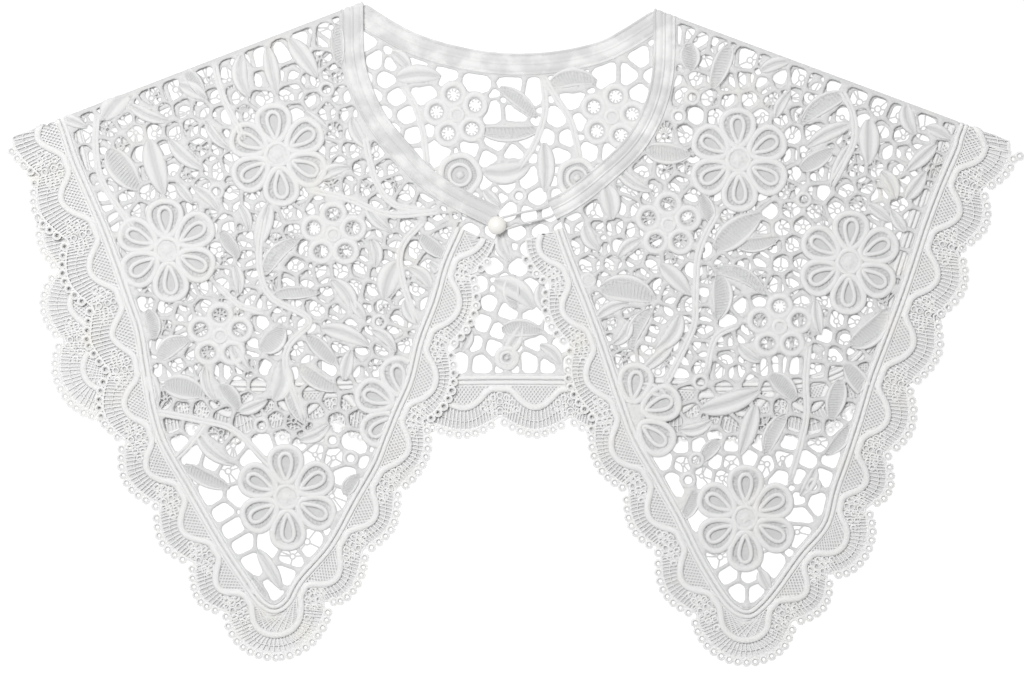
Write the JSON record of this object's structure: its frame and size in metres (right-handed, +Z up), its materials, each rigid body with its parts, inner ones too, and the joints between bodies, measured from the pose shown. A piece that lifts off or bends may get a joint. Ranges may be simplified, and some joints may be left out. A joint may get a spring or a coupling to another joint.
{
  "type": "lace collar",
  "caption": "White guipure lace collar with long front points, laid flat: flower lace panels, scalloped edging, a neck tape and a button with its loop.",
  "frame": {"origin": "the middle of the collar's outline, on the surface it lies on", "axes": "+X along the shoulders towards the picture's right, +Y towards the neck, +Z up from the surface"},
  "size_m": [0.5068, 0.3322, 0.0096],
  "materials": {
    "lace": "matt cotton thread, closely stitched",
    "edging": "matt cotton thread, corded",
    "tape": "plain woven cotton tape",
    "pearl": "pearly gloss"
  },
  "bodies": {
    "root": {"back_panel": "lace", "left_front_panel": "lace", "right_front_panel": "lace", "back_left_edging": "edging", "back_hem_edging": "edging", "back_right_edging": "edging", "left_outer_edging": "edging", "left_inner_edging": "edging", "right_outer_edging": "edging", "right_inner_edging": "edging", "back_neck_tape": "tape", "left_neck_tape": "tape", "right_neck_tape": "tape", "button_loop": "tape", "button": "pearl"}
  },
  "joints": []
}
